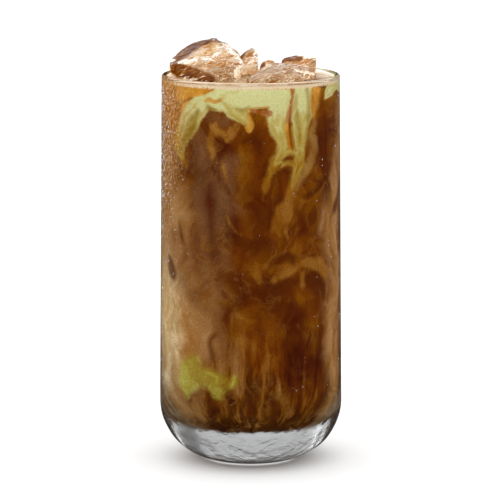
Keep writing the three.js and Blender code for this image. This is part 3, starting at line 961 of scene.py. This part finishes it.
class Marbling:
    """The wall of the drink as it shows through the glass, painted in layers."""

    def __init__(self, shader):
        s = self.s = shader
        self.place = s.place()
        self.height = s.axis(self.place, "Z")
        self.stirred = s.stir(s.stir(self.place, 0.028, 34.0), 0.08, 9.0)
        self.marble = s.noise(s.stretch(self.stirred, 1, 1, 0.7), 0.055, 3.5)
        feathered = s.stretch(s.stir(self.stirred, 0.2, 3.0), 1, 1, 0.5)
        self.wisps = s.noise(feathered, 0.15, 4.0, 0.55)
        self.grain = s.noise(self.place, 1.7, 2.0, 0.6)
        self.hanging = self.curtain_noise()

    def curtain_noise(self):
        """Noise drawn out down the wall."""
        s = self.s
        around = CURTAIN_ROUND * SHOULDER_RADIUS
        outward = s.stretch(s.vector("NORMALIZE", s.stretch(self.place, 1, 1, 0)), around, around, around)
        straight = s.stretch(self.place, 1 - CURTAIN_ROUND, 1 - CURTAIN_ROUND, 0.2)
        drawn = s.stir(s.stir(s.vector("ADD", outward, straight), 0.06, 10.0), 0.3, 4.0)
        return s.noise(drawn, 0.24, 4.0, 0.6)

    def layer(self, under, tone, soft, stray, strength, colour):
        """A tone over what lies under it: how soft its edge is and how far the wisps carry it."""
        s = self.s
        inside = s.plus(s.attribute(tone), s.sway(self.wisps, stray))
        return s.glaze(strength, s.between(inside, -soft, soft), under, colour)

    def tones(self, under, *names):
        for name in names:
            soft, stray, strength, dark, light = TONES[name]
            colour = self.s.ramp(self.wisps, {0.35: dark, 0.65: light})
            under = self.layer(under, name, soft, stray, strength, colour)
        return under

    def latte(self):
        """Coffee and milk half stirred, with long curtains that hang towards the dark bottom."""
        s = self.s
        browns = {0.32: "441a00", 0.42: "572801", 0.5: "693705", 0.58: "7c4914", 0.7: "966430"}
        hung = {0.36: "321203", 0.45: "4c2206", 0.52: "653710", 0.6: "805226", 0.7: "9e7242"}
        milks = {0.35: "734a29", 0.5: "8e643c", 0.65: "aa8052"}
        curtain = s.ramp(self.hanging, hung)
        colour = s.glaze(0.85, s.between(self.height, *CURTAINS), s.ramp(self.marble, browns), curtain)
        fringe = s.plus(self.height, s.sway(self.hanging, 40.0))
        colour = s.mix(s.between(fringe, *DARK_FRINGE), colour, pigment("3a1c08"))
        colour = self.layer(colour, "milk", 9.0, 26.0, 0.95, s.ramp(self.marble, milks))
        return self.tones(colour, "pale", "cream")

    def folds(self, colour):
        """Silky folds, each bright along one crisp side, and thin threads of milk."""
        s = self.s
        turn = s.maths("FRACT", s.times(s.noise(s.stretch(self.stirred, 1, 1, 0.6), 0.06, 1.0), 9.0))
        fold = s.times(s.maths("POWER", turn, 2.0), s.between(turn, 1.0, 0.94))
        colour = s.glaze(0.3, fold, colour, pigment("8f5c22"))
        thread = s.maths("ABSOLUTE", s.minus(self.wisps, 0.5))
        return s.glaze(0.15, s.between(thread, 0.03, 0.0), colour, pigment("a07444"))

    def coffee(self, colour):
        """Clear coffee between the milk, which breaks into fingers low down."""
        s = self.s
        steeped = s.plus(self.marble, s.sway(self.hanging, s.between(self.height, *FINGERS)))
        browns = {0.3: "3e1600", 0.42: "4c1f00", 0.58: "693300", 0.72: "855320"}
        return self.layer(colour, "coffee", 3.0, 10.0, 0.9, s.ramp(steeped, browns))

    def cloud(self, colour):
        """The cloud of matcha low on the left, duller towards the front."""
        s = self.s
        leaf = s.ramp(self.wisps, {0.38: "968034", 0.5: "a39640", 0.62: "b0aa56"})
        dull = s.ramp(self.wisps, {0.38: "7a5818", 0.5: "8e7228", 0.62: "a4963e"})
        green = s.mix(s.between(s.axis(self.place, "X"), *CLOUD_DARKER), leaf, dull)
        return self.layer(colour, "bloom", 1.6, 8.0, 0.95, green)

    def matcha(self, colour):
        """Curtains of matcha, palest high up, in ribbons along each streak. Also gives where they lie."""
        s = self.s
        depth = s.plus(s.attribute("matcha"), s.sway(self.wisps, 4.0))
        across = s.add("ShaderNodeCombineXYZ", X=s.times(depth, 4.0)).outputs[0]
        ribbons = s.noise(s.vector("ADD", self.stirred, across), 0.12, 4.0)
        rise = s.between(self.height, *MATCHA_PALER, smooth=False)
        greens = {0.04: "8e5a1c", 0.2: "9c742c", 0.42: "a88f44", 0.72: "b9aa64", 0.95: "c7c58a"}
        green = s.ramp(s.plus(rise, s.sway(ribbons, 1.3, 0.52)), greens)
        olive = s.ramp(ribbons, {0.4: "7c5f1c", 0.6: "988038"})
        green = self.layer(green, "olive", 1.2, 4.0, 0.9, olive)
        browned = s.times(s.between(depth, 1.4, 0.0), s.between(ribbons, 0.42, 0.6))
        green = s.glaze(0.8, browned, green, pigment("b07a30"))
        thinning = s.plus(s.times(s.minus(1.0, rise), 2.2), 0.35)
        dense = s.between(depth, -0.3, thinning)
        return s.mix(dense, colour, green), dense

    def foam(self, colour):
        """Pale foam where the surface meets the glass."""
        s = self.s
        line = s.plus(self.height, s.sway(self.grain, 1.6))
        return s.mix(s.between(line, *FOAM_LINE), colour, pigment("d8c0a0"))

    def mist_and_glints(self, colour, matcha):
        """Pebbled mist on the coldest side of the glass, painted as a speckle of lit beads with their
        glints, and a faint grain all over, less on matcha.
        """
        s = self.s
        pebbles = s.noise(self.place, 0.95, 1.0)
        # Painted glints of lit condensation beads, from dark to bright.
        cool = s.ramp(pebbles, {0.34: "6e4220", 0.47: "926236", 0.58: "b4834e", 0.7: "dcb078"})
        warm = s.ramp(pebbles, {0.34: "905222", 0.47: "b07434", 0.58: "c89152", 0.7: "e8c088"})
        beads_and_glints = s.mix(s.between(self.height, *MIST_WARMER), cool, warm)
        colour = s.glaze(0.75, s.between(s.attribute("damp_and_glinting"), -12.0, 8.0), colour, beads_and_glints)
        coarse = s.minus(1.0, s.times(matcha, 0.5))
        value = s.plus(1.0, s.sway(self.grain, coarse))
        return s.add("ShaderNodeHueSaturation", Color=colour, Saturation=1.02, Value=value).outputs["Color"]

    def colour(self):
        colour = self.folds(self.latte())
        colour = self.coffee(self.tones(colour, "mauve"))
        colour = self.cloud(self.tones(colour, "tan", "toffee", "dark", "grey"))
        colour, matcha = self.matcha(self.tones(colour, "amber"))
        colour = self.tones(colour, "rust", "honey")
        colour = self.layer(colour, "crease", 0.4, 1.0, 0.9, pigment("5c2c04"))
        return self.mist_and_glints(self.foam(colour), matcha)


# Materials


def marbled_material(name):
    s = Shader(name)
    return s.surface(Base_Color=Marbling(s).colour(), Roughness=0.5, Specular_IOR_Level=0.0)


def water_material():
    return Shader("water").surface(
        Base_Color=(1, 1, 1, 1),
        Roughness=0.0,
        IOR=1.33,
        Transmission_Weight=1.0,
        Specular_Tint=(1, 0.7, 0.4, 1),
    )


def froth_material():
    """The open surface, pale with milk and wet, with rafts of small bubbles."""
    s = Shader("milky_surface")
    place = s.place()
    swirl = s.noise(s.stir(place, 0.12, 7.0), 0.16, 5.0, 0.6)
    colour = s.ramp(swirl, {0.35: "ab7440", 0.5: "cfa270", 0.65: "ecd4b2"}, lit)
    cells = s.add("ShaderNodeTexVoronoi", {"feature": "DISTANCE_TO_EDGE"}, Vector=place, Scale=0.9)
    rafts = s.between(s.noise(place, 0.11, 3.0, 0.6), 0.5, 0.6)
    skin = s.times(s.between(cells.outputs["Distance"], 0.16, 0.02), rafts)
    colour = s.glaze(0.7, skin, colour, lit("f6e6cc"))
    return s.surface(Base_Color=colour, Roughness=0.25, Normal=s.bump(s.plus(swirl, skin), 0.3, 0.0004))


def glass_material():
    """Clear and even in the wall, uneven and slightly dulled in the thick base. The foot is tinted lighter
    again, painted light that lifts the shade of the floor seen through it.
    """
    s = Shader("clear_glass")
    place = s.place()
    height = s.axis(place, "Z")
    base = s.between(height, *DULL_BASE)
    # Painted light: a lighter tint in the foot lifts the shade seen through it.
    foot = s.between(height, *FOOT_LIFTED_FROM_SHADE)
    uneven = s.noise(s.stir(place, 0.1, 6.0), 0.2, 4.0, 0.6)
    body = s.mix(base, (0.985, 0.99, 0.988, 1), (0.62, 0.63, 0.63, 1))
    absorb = s.add("ShaderNodeVolumeAbsorption", Color=(0.3, 0.31, 0.31, 1), Density=14.0)
    s.put(s.nodes["Material Output"].inputs["Volume"], absorb.outputs[0])
    return s.surface(
        Base_Color=s.mix(foot, body, (0.9, 0.91, 0.91, 1)),
        Roughness=s.times(base, 0.22),
        IOR=1.5,
        Transmission_Weight=1.0,
        Normal=s.bump(s.times(uneven, base), 0.12, 0.004),
    )


def ice_material():
    """Clear ice with white cracks drawn along it, brown where coffee shows through. It is whitened near its
    edges and in bands, which is partly frost and partly painted glints.
    """
    s = Shader("melting_ice")
    place = s.place()
    height = s.axis(place, "Z")
    turned = s.add("ShaderNodeVectorRotate", {"rotation_type": "Y_AXIS"}, Vector=place, Angle=ICE_LEAN)
    drawn = s.stir(s.stretch(turned.outputs[0], ICE_DRAWN, 1, 1.3), 0.25, 2.5)
    veins = s.noise(drawn, 0.3, 3.0, 0.55)
    strokes = s.noise(drawn, 0.8, 4.0, 0.65)
    flecks = s.noise(place, 1.1, 3.0, 0.6)

    ragged = s.plus(s.minus(veins, 0.5), s.sway(strokes, 1.2))
    stain = s.between(s.plus(s.attribute("stain"), ragged), -0.05, 0.3)
    # Whitened bands and edges: partly frost, partly painted glints.
    frost_and_glint = s.times(s.between(s.attribute("frost_and_glint"), -0.5, 0.7), 0.19)
    edge = s.times(s.between(s.attribute("edge"), 1.0, 0.2), 0.04)
    crack = s.minus(s.plus(s.plus(strokes, frost_and_glint), edge), s.times(stain, 0.05))
    scratch = s.maths("ABSOLUTE", s.minus(s.noise(drawn, 0.55, 2.0), 0.5))
    scratch = s.times(s.between(scratch, 0.022, 0.004), s.maths("SUBTRACT", 0.75, stain, clamp=True))
    white = s.maths("MAXIMUM", s.between(crack, 0.61, 0.69), scratch)

    low = s.between(height, *STAINED_ICE)
    mottle = s.plus(veins, s.sway(strokes, 0.8))
    tint = s.ramp(mottle, {0.33: "bc7e3c", 0.44: "e2b67e", 0.54: "f6e0c2", 0.66: "fef6ea"}, linear)
    tint = s.glaze(0.85, low, tint, s.ramp(mottle, {0.34: "c4823a", 0.6: "f0c690"}, linear))
    deep = s.ramp(strokes, {0.35: "521c00", 0.5: "7e3e06", 0.65: "b07228"}, lit)
    thin = s.ramp(strokes, {0.35: "3c1600", 0.5: "6c3200", 0.65: "a46824"}, lit)
    tint = s.mix(stain, tint, s.mix(s.between(height, *THIN_STAIN), deep, thin))
    cloudy = s.maths("MAXIMUM", white, s.times(stain, 1.1))
    return s.surface(
        Base_Color=s.mix(white, tint, s.mix(low, linear("f8f2ea"), linear("f2dfc4"))),
        Roughness=s.times(white, 0.4),
        IOR=1.31,
        Specular_Tint=(1, 0.72, 0.44, 1),
        Transmission_Weight=s.between(cloudy, 1.35, -0.5, smooth=False),
        Normal=s.bump(s.plus(strokes, flecks), 0.22, 0.0006),
    )


def plain_material(name, grey, roughness):
    return Shader(name).surface(Base_Color=(grey, grey, grey, 1), Roughness=roughness)


def glow_material(name, strength):
    black = (0, 0, 0, 1)
    white = (1, 1, 1, 1)
    return Shader(name).surface(Base_Color=black, Emission_Color=white, Emission_Strength=strength)


# Stage


def stage_piece(name, points, faces, material, seen_by=None):
    """A piece of the stage, seen by one kind of ray alone if one is named."""
    piece = add_object(name, points, faces, smooth=False)
    piece.data.materials.append(material)
    if seen_by:
        for ray in ("camera", "diffuse", "glossy", "transmission", "volume_scatter", "shadow"):
            setattr(piece, "visible_" + ray, ray == seen_by)
    return piece


def make_floor():
    corners = [(x * FLOOR_REACH, y * FLOOR_REACH, 0) for x, y in ((-1, -1), (1, -1), (1, 1), (-1, 1))]
    return stage_piece("floor", corners, [(0, 1, 2, 3)], plain_material("pale_floor", 0.85, 0.9))


def make_tray():
    """Dark, and seen only by reflections: the wall shows no haze and the edges of the glass are drawn."""
    points = np.concatenate([ring(radius, height, STAGE_SIDES) for radius, height in TRAY_RINGS])
    faces = []
    for low in range(0, len(points) - STAGE_SIDES, STAGE_SIDES):
        faces += ring_faces(low, low + STAGE_SIDES, STAGE_SIDES)
    return stage_piece("tray", points, faces, plain_material("tray", 0.01, 1.0), "glossy")


def make_pad():
    """A lit pad under the base, which shows only through its glass."""
    points = ring(PAD_RADIUS, PAD_HEIGHT, STAGE_SIDES)
    return stage_piece("pad", points, [range(STAGE_SIDES)], glow_material("pad", PAD_LIGHT), "transmission")


def make_card(first, last, low, high, strength):
    """A lamp or flag behind the glass, which shows only through its base, as a glint or a dark line."""
    edge = CARD_DISTANCE * outward(np.linspace(first, last, CARD_STEPS + 1))
    points = [(x, y, z) for z in (low, high) for x, y in edge]
    faces = [(i, i + 1, i + 1 + len(edge), i + len(edge)) for i in range(CARD_STEPS)]
    return stage_piece("card", points, faces, glow_material("card", strength), "transmission")


def make_sky():
    world = bpy.data.worlds.new("studio")
    bpy.context.scene.world = world
    world.use_nodes = True
    background = world.node_tree.nodes["Background"]
    background.inputs["Color"].default_value = (1, 1, 1, 1)
    background.inputs["Strength"].default_value = SKY_LIGHT
    bpy.context.scene.view_settings.view_transform = "Standard"


def make_camera():
    camera = bpy.data.objects.new("camera", bpy.data.cameras.new("camera"))
    bpy.context.scene.collection.objects.link(camera)
    camera.data.sensor_width = SENSOR
    camera.data.lens = LENS
    camera.location = CAMERA_PLACE
    camera.rotation_euler = (math.radians(90 - CAMERA_DIP), 0, 0)
    bpy.context.scene.camera = camera


def dress(piece, material, slot, *nodes):
    piece.data.materials.append(material)
    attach(piece, "root")
    if nodes:
        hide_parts(*nodes)


make_floor()
make_tray()
make_pad()
[make_card(*card) for card in BASE_CARDS]
make_sky()
make_camera()
dress(make_tumbler(), glass_material(), "glass", "glass")
ice_blocks = [make_ice(node, seed) for seed, node in enumerate(ICE_CORNERS, 1)]
ice = ice_material()
for block, node in zip(ice_blocks, ICE_CORNERS):
    dress(block, ice, "ice", node)
drink = make_drink(ice_blocks)
dress(drink, marbled_material("marbled_drink"), "latte", "latte")
drink.data.materials.append(froth_material())
streaks = make_patch("matcha_streaks", "matcha", *STREAK_HEIGHTS)
matcha = marbled_material("matcha")
dress(streaks, matcha, "matcha", "matcha_front", "matcha_back")
dress(make_patch("matcha_cloud", "bloom", *CLOUD_HEIGHTS), matcha, "matcha", "matcha_bloom")
dress(make_condensation(), water_material(), "glass")
